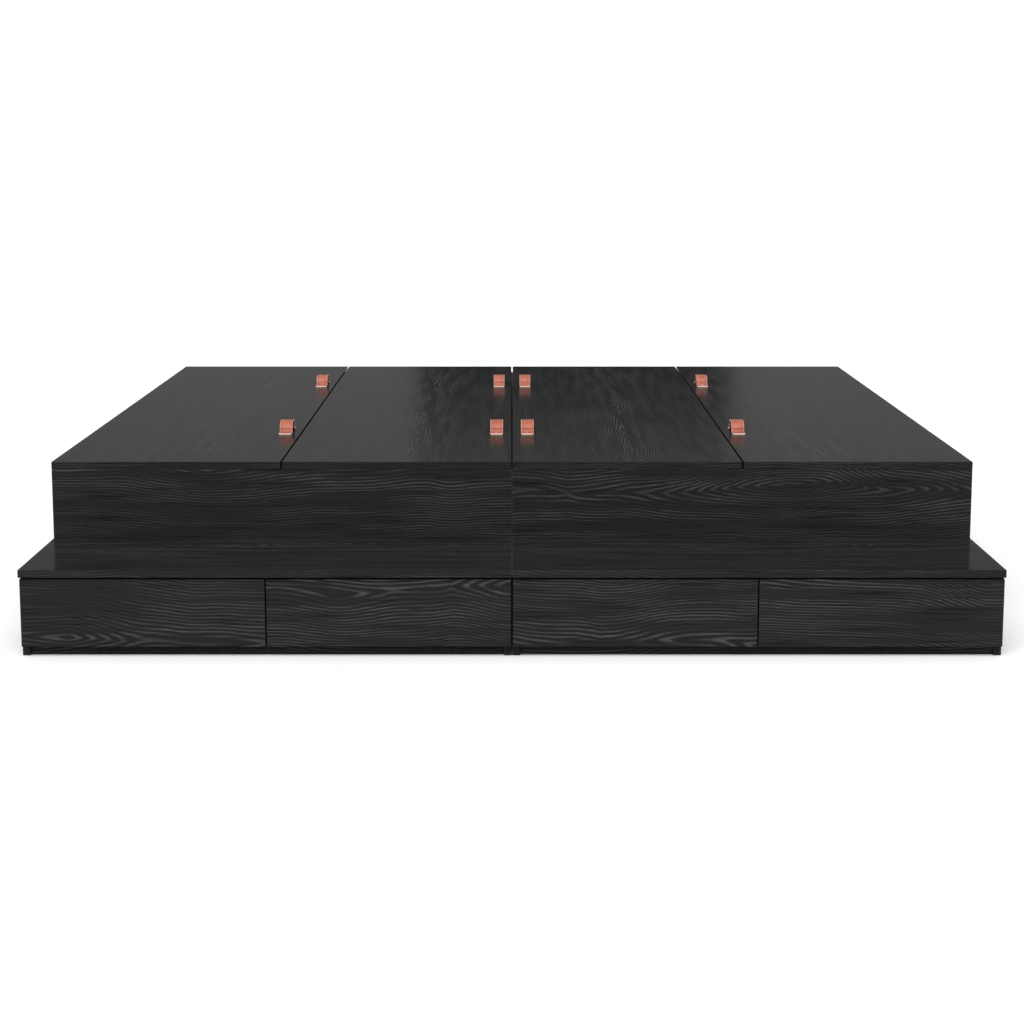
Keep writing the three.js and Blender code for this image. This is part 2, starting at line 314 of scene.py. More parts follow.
def strap_leather():
    """Vegetable-tanned leather in terracotta: a soft sheen over a pebbled grain, a little cloudy.

    The attribute strap_place gives each corner's place: across from the strap's middle, along, and up.
    """
    material, tree = new_material("terracotta_leather")
    place = add(tree, "Attribute", attribute_name="strap_place", out="Vector")
    ground = colours().leather
    cloud = streaks(tree, place, (70, 70, 70), 3.0)
    cloud = add(tree, "MapRange", (cloud, 0.3, 0.7), **SMOOTH)
    colour = add(tree, "Mix", {0: cloud, 6: shade(ground, 0.84), 7: shade(ground, 1.12)}, **COLOUR_MIX)
    # Pebbles of leather grain, 1.1 mm across.
    stretched = add(tree, "VectorMath", (place, (900, 900, 900)), operation="MULTIPLY")
    cells = {"Vector": stretched, "Scale": 1.0}
    pebble = add(tree, "TexVoronoi", cells, out="Distance", feature="SMOOTH_F1")
    valley = add(tree, "MapRange", (pebble, 0.45, 0.9, 0.0, 0.35), **SMOOTH)
    colour = add(tree, "Mix", {0: valley, 6: colour, 7: shade(ground, 0.55)}, **COLOUR_MIX)
    # A crease is pressed 3.2 mm inside each edge; outside it the edge is painted paler, partly as rubbed
    # wear and partly as a painted highlight where the rounded edge catches light.
    crease_line, rubbed_and_highlight_line = 0.0118, 0.0120
    sideways = add(tree, "SeparateXYZ", (place,))
    sideways = add(tree, "Math", (sideways,), operation="ABSOLUTE")
    crease = add(tree, "Math", (sideways, crease_line), operation="SUBTRACT")
    crease = add(tree, "Math", (crease,), operation="ABSOLUTE")
    crease = add(tree, "MapRange", (crease, 0.0003, 0.0008, 1.0, 0.0), **SMOOTH)
    rubbed_and_highlight = add(tree, "MapRange", (sideways, rubbed_and_highlight_line, 0.0146, 0.0, 0.25), **SMOOTH)
    colour = add(tree, "Mix", {0: rubbed_and_highlight, 6: colour, 7: colours().leather_edge_and_highlight}, **COLOUR_MIX)
    darker = add(tree, "Math", (crease, 0.55), operation="MULTIPLY")
    colour = add(tree, "Mix", {0: darker, 6: colour, 7: shade(ground, 0.4)}, **COLOUR_MIX)
    gloss = add(tree, "Math", (pebble, 0.2, 0.38), operation="MULTIPLY_ADD")
    relief = add(tree, "Math", (pebble, crease), operation="ADD")
    relief = add(tree, "Math", (1.0, relief), operation="SUBTRACT")
    relief = add(tree, "Bump", {"Height": relief, "Distance": 0.00015, "Strength": 0.5}, out="Normal")
    skin = {"Base Color": colour, "Roughness": gloss, "Normal": relief}
    add(tree, "OutputMaterial", (add(tree, "BsdfPrincipled", skin),))
    return material


def cut_leather():
    """The cut edge of the strap: undyed, fibrous and paler than the grain side, its pale colour partly a
    painted highlight.
    """
    material, tree = new_material("cut_leather_edge_and_highlight")
    place = add(tree, "Attribute", attribute_name="strap_place", out="Vector")
    fibres = streaks(tree, place, (500, 500, 1500), 3.0, 0.7)
    ground = colours().leather_edge_and_highlight
    colour = add(tree, "Mix", {0: fibres, 6: shade(ground, 0.75), 7: shade(ground, 1.2)}, **COLOUR_MIX)
    relief = add(tree, "Bump", {"Height": fibres, "Distance": 0.0002, "Strength": 0.4}, out="Normal")
    skin = {"Base Color": colour, "Roughness": 0.7, "Normal": relief}
    add(tree, "OutputMaterial", (add(tree, "BsdfPrincipled", skin),))
    return material


def plated_steel(name, tint, gloss):
    """Plated sheet steel: bright, with the faint streaks of rolling under the plating."""
    material, tree = new_material(name)
    place = add(tree, "TexCoord", out="Object")
    streak = streaks(tree, place, (900, 60, 900))
    colour = add(tree, "Mix", {0: streak, 6: shade(srgb(tint), 0.85), 7: srgb(tint)}, **COLOUR_MIX)
    gloss = add(tree, "Math", (streak, 0.14, gloss), operation="MULTIPLY_ADD")
    relief = add(tree, "Bump", {"Height": streak, "Distance": 0.00003, "Strength": 0.2}, out="Normal")
    skin = {"Base Color": colour, "Metallic": 1.0, "Roughness": gloss, "Normal": relief}
    add(tree, "OutputMaterial", (add(tree, "BsdfPrincipled", skin),))
    return material


def moulded_nylon(name, tint, gloss):
    """Injection-moulded nylon: even colour and satin, with the very fine texture of its mould."""
    material, tree = new_material(name)
    place = add(tree, "TexCoord", out="Object")
    texture = streaks(tree, place, (1800, 1800, 1800), 1.0)
    colour = add(tree, "Mix", {0: texture, 6: shade(srgb(tint), 0.88), 7: srgb(tint)}, **COLOUR_MIX)
    relief = add(tree, "Bump", {"Height": texture, "Distance": 0.00004, "Strength": 0.3}, out="Normal")
    skin = {"Base Color": colour, "Roughness": gloss, "Normal": relief}
    add(tree, "OutputMaterial", (add(tree, "BsdfPrincipled", skin),))
    return material


def foam_tape(name, tint):
    """Closed-cell foam tape: dull, with darker walls round cells of half a millimetre."""
    material, tree = new_material(name)
    place = add(tree, "TexCoord", out="Object")
    stretched = add(tree, "VectorMath", (place, (1800, 1800, 1800)), operation="MULTIPLY")
    cell = add(tree, "TexVoronoi", {"Vector": stretched, "Scale": 1.0}, out="Distance")
    colour = add(tree, "Mix", {0: cell, 6: srgb(tint), 7: shade(srgb(tint), 0.5)}, **COLOUR_MIX)
    relief = add(tree, "Bump", {"Height": cell, "Distance": 0.0001, "Strength": 0.5}, out="Normal")
    skin = {"Base Color": colour, "Roughness": 0.9, "Normal": relief}
    add(tree, "OutputMaterial", (add(tree, "BsdfPrincipled", skin),))
    return material


FINISHES = {
    "oak": black_oak,
    "drawer": drawer_laminate,
    "hardboard": hardboard,
    "chipboard": chipboard,
    "leather": strap_leather,
    "cut_leather": cut_leather,
    "zinc": lambda: plated_steel("zinc_plated_steel", "#c3c6c9", 0.24),
    "nickel": lambda: plated_steel("nickel_plated_steel", "#dedbd4", 0.22),
    # The black foam tape is painted shade for the seam between the lids.
    "shade_black_foam": lambda: foam_tape("shade_black_foam_tape", "#0e0e0e"),
    "charcoal_foam": lambda: foam_tape("charcoal_foam_tape", "#343434"),
    "black_nylon": lambda: moulded_nylon("black_nylon", "#161617", 0.45),
    "grey_nylon": lambda: moulded_nylon("grey_nylon", "#8c8c8a", 0.5),
}
_made = {}


def finish(name):
    """The material of that name, made the first time it is asked for."""
    if name not in _made:
        _made[name] = FINISHES[name]()
    return _made[name]


# Shapes, in metres


def node_shape(node):
    """A copy of a CAD node with its triangles merged into flat faces."""
    bm = bmesh.new()
    bm.from_mesh(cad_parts[node].data)
    bmesh.ops.remove_doubles(bm, verts=bm.verts, dist=1e-6)
    bmesh.ops.dissolve_limit(bm, angle_limit=math.radians(1), verts=bm.verts, edges=bm.edges)
    return bm


def block(low, high):
    """A rectangular block between two corners."""
    low, high = Vector(low), Vector(high)
    bm = bmesh.new()
    bmesh.ops.create_cube(bm, size=1)
    bmesh.ops.scale(bm, vec=high - low, verts=bm.verts)
    bmesh.ops.translate(bm, vec=(low + high) / 2, verts=bm.verts)
    return bm


def disc(radius, low, high, segments=24, top=1.0):
    """A round plug along Z between two heights; top is the upper radius as a share of the lower."""
    bm = bmesh.new()
    bmesh.ops.create_cone(
        bm, cap_ends=True, segments=segments, radius1=radius, radius2=radius * top, depth=high - low
    )
    bmesh.ops.translate(bm, vec=(0, 0, (low + high) / 2), verts=bm.verts)
    return bm


def sharp_edges(bm):
    return [e for e in bm.edges if e.calc_face_angle(0) > math.radians(30)]


def soften(bm, radius, segments=2, edges=None):
    """Rounds edges, by default each one that turns by more than 30 degrees."""
    bmesh.ops.bevel(
        bm,
        geom=sharp_edges(bm) if edges is None else edges,
        offset=radius,
        segments=segments,
        profile=0.5,
        affect="EDGES",
        material=-1,
        clamp_overlap=True,
    )
    return bm


def join(bm, other, move=Matrix(), finish_number=None):
    """Adds another shape to bm, moved by a matrix, and frees it."""
    bmesh.ops.transform(other, matrix=move, verts=other.verts)
    if move.determinant() < 0:
        bmesh.ops.recalc_face_normals(other, faces=other.faces)
    if finish_number is not None:
        for face in other.faces:
            face.material_index = finish_number
    mesh = bpy.data.meshes.new("joined")
    other.to_mesh(mesh)
    other.free()
    bm.from_mesh(mesh)
    bpy.data.meshes.remove(mesh)


def top_face(bm):
    return max(bm.faces, key=lambda f: f.calc_center_median().z)


def end_face(parts):
    return next(part for part in parts if isinstance(part, bmesh.types.BMFace))


def carry(bm, face, offset):
    """Extrudes the strip's end face straight on and returns the new end."""
    moved = bmesh.ops.extrude_face_region(bm, geom=[face])["geom"]
    bmesh.ops.translate(bm, vec=offset, verts=[v for v in moved if isinstance(v, bmesh.types.BMVert)])
    return end_face(moved)


def turn(bm, face, centre, axis, angle, steps):
    """Bends the strip's end face round a line and returns the new end."""
    geom = [face, *face.edges, *face.verts]
    angle = math.radians(angle)
    turned = bmesh.ops.spin(bm, geom=geom, cent=centre, axis=axis, angle=angle, steps=steps)
    return end_face(turned["geom_last"])


def spun(profile, segments=32):
    """A closed shape turned from a profile of (radius, height) points round the Z axis."""
    bm = bmesh.new()
    points = [bm.verts.new((radius, 0, height)) for radius, height in profile]
    rim = [bm.edges.new(pair) for pair in zip(points, points[1:])]
    bmesh.ops.spin(
        bm,
        geom=points + rim,
        cent=(0, 0, 0),
        axis=(0, 0, 1),
        angle=math.tau,
        steps=segments,
        use_merge=True,
    )
    bmesh.ops.remove_doubles(bm, verts=bm.verts, dist=1e-6)
    bmesh.ops.recalc_face_normals(bm, faces=bm.faces)
    return bm


def screw_shape(radius, height):
    """A pan head with a star recess, standing on Z = 0."""
    bm = disc(radius, 0, height * 0.45, 16)
    top = carry(bm, top_face(bm), (0, 0, height * 0.35))
    bmesh.ops.scale(bm, vec=(0.88, 0.88, 1), verts=top.verts)
    top = carry(bm, top, (0, 0, height * 0.20))
    bmesh.ops.scale(bm, vec=(0.76, 0.76, 1), verts=top.verts)
    bmesh.ops.inset_region(bm, faces=[top], thickness=radius * 0.26)
    # Every fourth corner of the recess is drawn in most, its neighbours less: a star with four arms.
    for corner, vert in enumerate(top.verts):
        if corner % 4 in (1, 2, 3):
            vert.co.xy *= 0.45 if corner % 4 == 2 else 0.62
    floor = carry(bm, top, (0, 0, -height * 0.35))
    bmesh.ops.scale(bm, vec=(0.7, 0.7, 1), verts=floor.verts)
    return bm


def extent(bm):
    corners = [v.co for v in bm.verts]
    low = Vector(min(c[i] for c in corners) for i in range(3))
    high = Vector(max(c[i] for c in corners) for i in range(3))
    return low, high


def lay_grain(bm, along, heart, depth, seed):
    """Places the oak figure: along is the grain's axis, heart its middle line across the board.

    depth is how far the trunk's heart lies under the face, and seed picks another stretch of the trunk.
    Banded edges take straight grain along their length.
    """
    layer = bm.loops.layers.float_vector.new("oak_place")
    low, high = extent(bm)
    size = high - low
    thin = min(range(3), key=lambda i: size[i])
    across = 3 - thin - along
    for face in bm.faces:
        facing = max(range(3), key=lambda i: abs(face.normal[i]))
        if facing == thin:
            run, cross, shift, above = along, across, -heart, depth
        else:
            run, cross = sorted((i for i in range(3) if i != facing), key=lambda i: -size[i])
            shift, above = 0.16 - low[cross], 0.02
        for loop in face.loops:
            spot = loop.vert.co
            loop[layer] = Vector((spot[run] + 9.3 * seed, spot[cross] + shift, above))


def new_piece(name, bm, body, slot, *finishes, replaces=(), smooth=False):
    """Turns a shape into a piece of the bed that moves with a body."""
    mesh = bpy.data.meshes.new(name)
    bm.to_mesh(mesh)
    bm.free()
    for f in finishes:
        mesh.materials.append(finish(f))
    if smooth:
        mesh.shade_smooth()
        mesh.set_sharp_from_angle(angle=math.radians(40))
    piece = bpy.data.objects.new(name, mesh)
    bpy.context.scene.collection.objects.link(piece)
    if body:
        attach(piece, body)
    if replaces:
        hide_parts(*replaces)
    return piece


def board(node, along, heart, depth, seed, body="carcass"):
    """An oak-faced board with softened, banded edges in place of its CAD node."""
    bm = soften(node_shape(node), sizes().edge_radius)
    lay_grain(bm, along, heart, depth, seed)
    return new_piece(f"{node}_board", bm, body, "black_oak", "oak", replaces=[node])


def at(x, y, z, turned=None):
    """The matrix that moves a shape to a place, after an optional turn."""
    return Matrix.Translation((x, y, z)) @ (turned or Matrix())


def along_x(side):
    """The turn that points a shape's Z axis along X, to the given side."""
    return Matrix.Rotation(math.radians(90 * side), 4, "Y")


FORWARD = Matrix.Rotation(math.radians(90), 4, "X")  # points a shape's Z axis along -Y
DOWN = Matrix.Rotation(math.pi, 4, "X")


# Operators


class BED_OT_carcass(bpy.types.Operator):
    """Builds the fixed boards of both modules: storage boxes and steps"""

    bl_idname = "bed.carcass"
    bl_label = "Carcass boards"

    def execute(self, context):
        # Grain axis, heart line and heart depth of each board.
        boards = {
            "box_riser": (X, 0.335, 0.04),
            "box_back": (X, 0.10, 0.06),
            "box_outer_side": (Y, 0.22, 0.05),
            "box_inner_side": (Y, 0.12, 0.07),
            "box_partition": (Y, 0.20, 0.06),
            "box_outer_floor": (Y, 0.75, 0.06),
            "box_inner_floor": (Y, 0.25, 0.05),
            "step_top": (X, -0.90, 0.09),
            "step_outer_side": (Y, 0.09, 0.05),
            "step_inner_side": (Y, 0.05, 0.07),
            "step_plinth": (X, -0.05, 0.05),
            "step_divider": (Y, 0.09, 0.05),
        }
        for m, (module, side) in enumerate(MODULES.items()):
            for b, (part, (along, heart, depth)) in enumerate(boards.items()):
                if part.endswith("floor"):
                    heart *= side
                if (module, part) == ("right", "box_riser"):
                    heart = 0.288
                board(f"{module}_{part}", along, heart, depth, 1 + b + 17 * m)
        return {"FINISHED"}


class BED_OT_lids(bpy.types.Operator):
    """Builds the four lids, with bored holes for the hinge cups"""

    bl_idname = "bed.lids"
    bl_label = "Lids"

    def execute(self, context):
        hearts = {"lid_1": -0.70, "lid_2": -0.22, "lid_3": 0.27, "lid_4": 0.68}
        for seed, lid in enumerate(LIDS):
            bm = node_shape(lid)
            low, high = extent(bm)
            rim = [e for e in sharp_edges(bm) if all(self.on_rim(v.co, low, high) for v in e.verts)]
            soften(bm, sizes().edge_radius, edges=rim)
            lay_grain(bm, Y, hearts[lid], 0.045, 41 + seed)
            for face in bm.faces:
                middle = face.calc_center_median()
                inset = min(min(middle[i] - low[i], high[i] - middle[i]) for i in (X, Y))
                bored = inset > 0.004 and low.z + 0.001 < middle.z < high.z - 0.001
                face.material_index = 1 if bored else 0
            new_piece(f"{lid}_board", bm, lid, "black_oak", "oak", "chipboard", replaces=[lid])
        return {"FINISHED"}

    def on_rim(self, spot, low, high):
        return min(abs(spot[i] - corner[i]) for i in (X, Y) for corner in (low, high)) < 1e-5


class BED_OT_pulls(bpy.types.Operator):
    """Builds the leather strap pulls and their screws, two pulls on each lid"""

    bl_idname = "bed.pulls"
    bl_label = "Strap pulls"

    THICKNESS = 0.003
    FOOT = 0.028
    FOOT_BEND = 0.006
    LEG = 0.0005
    CORNER = 0.004
    HEAD_HEIGHT = 0.0022
    HIDE_STEP = 3.1  # each strap is cut from another part of the hide

    def execute(self, context):
        nodes = [(lid, f"{lid}_{place}_pull") for lid in LIDS for place in ("front", "rear")]
        for number, (lid, node) in enumerate(nodes):
            low, high = map(Vector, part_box(node))
            size = high - low
            spot = at((low.x + high.x) / 2, (low.y + high.y) / 2, low.z)
            strap = self.strap(size)
            layer = strap.loops.layers.float_vector.new("strap_place")
            for face in strap.faces:
                cut = abs(face.normal.x) > 0.9 or self.is_end(face, size)
                face.material_index = 1 if cut else 0
                for loop in face.loops:
                    loop[layer] = loop.vert.co + Vector((0, self.HIDE_STEP * number, 0))
            bmesh.ops.transform(strap, matrix=spot, verts=strap.verts)
            finishes = ("leather", "cut_leather")
            new_piece(f"{node}_strap", strap, lid, "tan_leather", *finishes, replaces=[node], smooth=True)
            screws = bmesh.new()
            reach = (size.y - self.FOOT) / 2
            for end in (-1, 1):
                turned = Matrix.Rotation(0.4 * number + end, 4, "Z")
                head = screw_shape(sizes().screw_head / 2, self.HEAD_HEIGHT)
                join(screws, head, spot @ at(0, end * reach, self.THICKNESS, turned))
            new_piece(f"{node}_screws", screws, lid, "zinc_steel", "nickel", smooth=True)
        return {"FINISHED"}

    def strap(self, size):
        """The strap round its own middle, lying along Y: a flat foot, an arch and another foot."""
        thickness = self.THICKNESS
        leg = size.y / 2 - self.FOOT - self.FOOT_BEND
        crown_bend = size.z - thickness - self.FOOT_BEND - self.LEG
        foot_height = thickness / 2 + self.FOOT_BEND
        crown_height = foot_height + self.LEG
        bm = bmesh.new()
        bmesh.ops.create_grid(bm, x_segments=1, y_segments=1, size=0.5)
        bmesh.ops.scale(bm, vec=(size.x, thickness, 1), verts=bm.verts)
        bmesh.ops.rotate(bm, matrix=Matrix.Rotation(math.radians(90), 3, "X"), verts=bm.verts)
        bmesh.ops.translate(bm, vec=(0, -size.y / 2, thickness / 2), verts=bm.verts)
        end = next(iter(bm.faces))
        end = carry(bm, end, (0, self.FOOT, 0))
        end = turn(bm, end, (0, -leg - self.FOOT_BEND, foot_height), (1, 0, 0), 90, 6)
        end = carry(bm, end, (0, 0, self.LEG))
        end = turn(bm, end, (0, -leg + crown_bend, crown_height), (1, 0, 0), -90, 12)
        end = carry(bm, end, (0, 2 * (leg - crown_bend), 0))
        end = turn(bm, end, (0, leg - crown_bend, crown_height), (1, 0, 0), -90, 12)
        end = carry(bm, end, (0, 0, -self.LEG))
        end = turn(bm, end, (0, leg + self.FOOT_BEND, foot_height), (1, 0, 0), 90, 6)
        carry(bm, end, (0, self.FOOT, 0))
        bmesh.ops.remove_doubles(bm, verts=bm.verts, dist=1e-6)
        bmesh.ops.recalc_face_normals(bm, faces=bm.faces)
        corners = [
            e
            for e in sharp_edges(bm)
            if abs(e.verts[0].co.z - e.verts[1].co.z) > thickness / 2
            and min(abs(v.co.y) for v in e.verts) > size.y / 2 - 1e-5
        ]
        soften(bm, self.CORNER, 4, corners)
        return soften(bm, 0.0007)

    def is_end(self, face, size):
        """Whether a face is part of the cut end of a foot, its rounded corners included."""
        middle = face.calc_center_median()
        return abs(middle.y) > size.y / 2 - self.CORNER - 0.0001 and abs(face.normal.z) < 0.5


class BED_OT_hinges(bpy.types.Operator):
    """Builds four concealed hinges for each lid: arm on the panel, links, and cup in the lid"""

    bl_idname = "bed.hinges"
    bl_label = "Lid hinges"

    STATIONS = 4
    CUP_INSET = 0.0225  # from the lid's hinge edge to the middle of the cup
    PLATE = (0.0002, -0.023, -0.045), (0.0028, 0.023, -0.029)
    BODY = (0.0030, -0.0070, -0.0600), (0.0110, 0.0070, -0.0190)
    ARM_SCREWS = (-0.0335, 0.0030), (-0.0530, 0.0026)  # height and radius
    WING = 0.016  # from the arm's middle line to the screws of the plate
    NOSE = 0.007  # half the depth of the arm's nose
    PIN_DEPTH = 0.0060
    LINK_SPAN = -0.0080, 0.0075
    LINK_CUTS = 11
    BLEND = 0.0065
    EAR = 0.0166, 0.0295  # from the middle of the cup to the ends of an ear

    def execute(self, context):
        for lid, side in LIDS.items():
            module = "left" if side < 0 else "right"
            panel = f"{module}_box_outer_side" if lid in OUTER_LIDS else f"{module}_box_partition"
            low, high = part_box(lid)
            arm_low, arm_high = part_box(f"{lid}_hinge_arm")
            # x of the panel's inner face, and of the lid's hinge edge
            face, edge = (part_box(panel)[1][X], low[X]) if side < 0 else (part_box(panel)[0][X], high[X])
            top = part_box(panel)[1][Z]
            cup = abs(edge - side * self.CUP_INSET - face)
            first = (arm_low[Y] + arm_high[Y]) / 2
            last = low[Y] + high[Y] - first
            mirror = Matrix.Diagonal((-side, 1, 1, 1))
            for station in range(self.STATIONS):
                y = first + (last - first) * station / (self.STATIONS - 1)
                name = f"{lid}_hinge_{station + 1}"
                replaced = [f"{lid}_hinge_arm"] if station == 0 else []
                spot = at(face, y, top, mirror)
                self.arm(f"{name}_arm", spot, cup, replaced)
                self.links(f"{name}_links", spot, cup, lid)
                self.cup(f"{name}_cup", at(face, y, low[Z], mirror), cup, lid)
        return {"FINISHED"}

    def arm(self, name, spot, cup, replaced):
        """A pressed arm on a winged plate: X leads out from the panel, Z up from its top edge."""
        bm = bmesh.new()
        plate = block(*self.PLATE)
        ends = [e for e in plate.edges if abs(e.verts[0].co.x - e.verts[1].co.x) > 0.001]
        soften(plate, 0.006, 4, ends)
        join(bm, soften(plate, 0.0005, 1), spot)
        # The arm's back runs up the panel and cranks out towards the cup in two steps.
        body = block(*self.BODY)
        nose = cup - self.NOSE + 0.0010
        crank = max(nose - self.BODY[0][X], 0.0) / 2
        up = carry(body, top_face(body), (crank, 0, 0.0050))
        up = carry(body, up, (crank, 0, 0.0045))
        for vert in up.verts:
            if vert.co.x > nose + 0.004:
                vert.co.x = cup + self.NOSE - 0.0005
        carry(body, up, (0, 0, 0.0070))
        join(bm, soften(body, 0.0012), spot)
        for height, radius in self.ARM_SCREWS:
            join(bm, screw_shape(radius, 0.0012), spot @ at(0.0108, 0, height, along_x(1)), 1)
        for sideways in (-self.WING, self.WING):
            join(bm, screw_shape(0.0036, 0.0022), spot @ at(0.0027, sideways, -0.037, along_x(1)), 1)
        pin = disc(0.0014, -0.0076, 0.0076, 12)
        join(bm, pin, spot @ at(cup, 0, -self.PIN_DEPTH, FORWARD), 1)
        new_piece(name, bm, "carcass", "zinc_steel", "zinc", "nickel", replaces=replaced, smooth=True)

    def links(self, name, spot, cup, lid):
        """Two outer straps and a middle one from the nose of the arm up into the cup."""
        bm = bmesh.new()
        bottom, top = self.LINK_SPAN
        for low, high in (
            ((-0.0022, -0.0062), (0.0022, -0.0046)),
            ((-0.0022, 0.0046), (0.0022, 0.0062)),
            ((0.0016, -0.0036), (0.0034, 0.0036)),
        ):
            strap = block((cup + low[X], low[Y], bottom), (cup + high[X], high[Y], top))
            rungs = [e for e in strap.edges if abs(e.verts[0].co.z - e.verts[1].co.z) > 0.01]
            bmesh.ops.subdivide_edges(strap, edges=rungs, cuts=self.LINK_CUTS, use_grid_fill=True)
            join(bm, strap, spot)
        piece = new_piece(name, bm, None, "zinc_steel", "nickel")
        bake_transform(piece)

    def cup(self, name, spot, cup, lid):
        """A drawn cup with two ears screwed to the lid's underside; Z is measured from there."""
        outer, inner, roof = 0.0172, 0.0163, 0.0112
        ceiling = roof - 0.0009
        outside = [(0, roof), (outer - 0.001, roof), (outer, roof - 0.001), (outer, 0.0001)]
        inside = [(inner, 0.0001), (inner, roof - 0.0016), (inner - 0.001, ceiling), (0, ceiling)]
        bm = bmesh.new()
        join(bm, spun(outside + inside), spot @ at(cup, 0, 0))
        for end in (-1, 1):
            near, far = sorted(end * reach for reach in self.EAR)
            ear = block((cup - 0.0045, near, -0.0011), (cup + 0.0085, far, -0.0001))
            upright = [e for e in ear.edges if abs(e.verts[0].co.z - e.verts[1].co.z) > 0.0005]
            soften(ear, 0.005, 4, [e for e in upright if abs(e.verts[0].co.y) > 0.02])
            join(bm, soften(ear, 0.0003, 1), spot)
            screw = screw_shape(0.0036, 0.0018)
            join(bm, screw, spot @ at(cup + 0.002, end * 0.0235, -0.0010, DOWN), 1)
        new_piece(name, bm, lid, "zinc_steel", "nickel", "zinc", smooth=True)


class BED_OT_drawers(bpy.types.Operator):
    """Builds the four drawers: oak front, laminated sides and back, hardboard bottom"""

    bl_idname = "bed.drawers"
    bl_label = "Drawers"

    def execute(self, context):
        hearts = {"drawer_1": 0.035, "drawer_2": 0.150, "drawer_3": 0.030, "drawer_4": 0.165}
        for seed, drawer in enumerate(DRAWERS):
            board(f"{drawer}_front", X, hearts[drawer], 0.055, 61 + seed, drawer)
            for node in (f"{drawer}_left_side", f"{drawer}_right_side", f"{drawer}_back"):
                bm = soften(node_shape(node), sizes().edge_radius * 0.8)
                new_piece(f"{node}_board", bm, drawer, "drawer_board", "drawer", replaces=[node])
            node = f"{drawer}_bottom"
            bm = soften(node_shape(node), 0.0004, 1)
            new_piece(f"{node}_sheet", bm, drawer, "hardboard", "hardboard", replaces=[node])
        return {"FINISHED"}


class BED_OT_runners(bpy.types.Operator):
    """Builds two roller runners for each drawer: a channel on the carcass, a rail on the drawer"""

    bl_idname = "bed.runners"
    bl_label = "Drawer runners"

    LENGTH = 0.300
    METAL = 0.0012
    GAP = 0.0125  # between the panel and the drawer's side
    FRONT_GAP = 0.0035
    CHANNEL_SCREWS = (0.045, 0.150, 0.262)
    RAIL_SCREWS = (0.040, 0.245)
    SCREW_HEIGHT = 0.0105

    def execute(self, context):
        for drawer in DRAWERS:
            for hand, inward in (("left", 1), ("right", -1)):
                low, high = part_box(f"{drawer}_{hand}_side")
                side_face = low[X] if inward > 0 else high[X]
                mirror = Matrix.Diagonal((inward, 1, 1, 1))
                spot = at(side_face - inward * self.GAP, low[Y] + self.FRONT_GAP, low[Z], mirror)
                self.channel(f"{drawer}_{hand}_runner_channel", spot)
                self.rail(f"{drawer}_{hand}_runner_rail", spot, drawer)
        return {"FINISHED"}

    def section(self, walls, spot):
        """Folded sheet steel: each wall of the section is a strip between two corners."""
        bm = bmesh.new()
        for wall in walls:
            join(bm, soften(block(*wall), 0.0003, 1), spot)
        return bm

    def channel(self, name, spot):
        """X leads from the panel to the drawer, Y back, and Z up from the drawer side's lower edge."""
        metal, low, high, lip = self.METAL, -0.0015, 0.0225, 0.009
        open_front = 0.028  # the roller stands here, with no flange above it
        walls = (
            ((0.0001, 0, low), (metal, self.LENGTH, high)),
            ((metal, 0, low), (lip, self.LENGTH, low + metal)),
            ((metal, open_front, high - metal), (lip, self.LENGTH, high)),
            ((lip - metal, open_front, 0.0190), (lip, self.LENGTH, high - metal)),
        )
        bm = self.section(walls, spot)
        for back in self.CHANNEL_SCREWS:
            join(bm, screw_shape(0.0035, 0.0018), spot @ at(metal, back, self.SCREW_HEIGHT, along_x(1)), 2)
        self.roller(bm, spot @ at(0.0030, 0.0125, 0.0124, along_x(1)), 0.0105)
        new_piece(name, bm, "carcass", "zinc_steel", "zinc", "grey_nylon", "nickel", smooth=True)

    def rail(self, name, spot, drawer):
        """Its upper flange rides on the channel's roller, and its own roller inside the channel."""
        web, low, high = self.GAP - 0.0001, -0.0013, 0.0242
        face = web - self.METAL
        walls = (
            ((face, 0, low), (web, self.LENGTH, high)),
            ((face, 0, low), (self.GAP + 0.0095, self.LENGTH, -0.0002)),
            ((0.0028, 0, 0.0230), (face, self.LENGTH, high)),
        )
        bm = self.section(walls, spot)
        for back in self.RAIL_SCREWS:
            join(bm, screw_shape(0.0035, 0.0014), spot @ at(face, back, self.SCREW_HEIGHT, along_x(-1)), 2)
        self.roller(bm, spot @ at(0.0094, self.LENGTH - 0.0105, 0.0090, along_x(-1)), 0.0092)
        new_piece(name, bm, drawer, "zinc_steel", "zinc", "grey_nylon", "nickel", smooth=True)

    def roller(self, bm, spot, radius):
        """A nylon wheel with a rounded tread on a steel axle; Z leads out from the steel."""
        bore, hub, rim, width, round_off = 0.0021, 0.0045, radius - 0.0008, 0.0052, 0.0008
        tread = [(bore, 0), (rim, 0), (radius, round_off), (radius, width - round_off), (rim, width)]
        face = [(hub, width), (0.0040, 0.0046), (bore, 0.0046), (bore, 0)]
        join(bm, spun(tread + face), spot, 1)
        join(bm, disc(bore, -0.0022, 0.0062, 16), spot, 2)


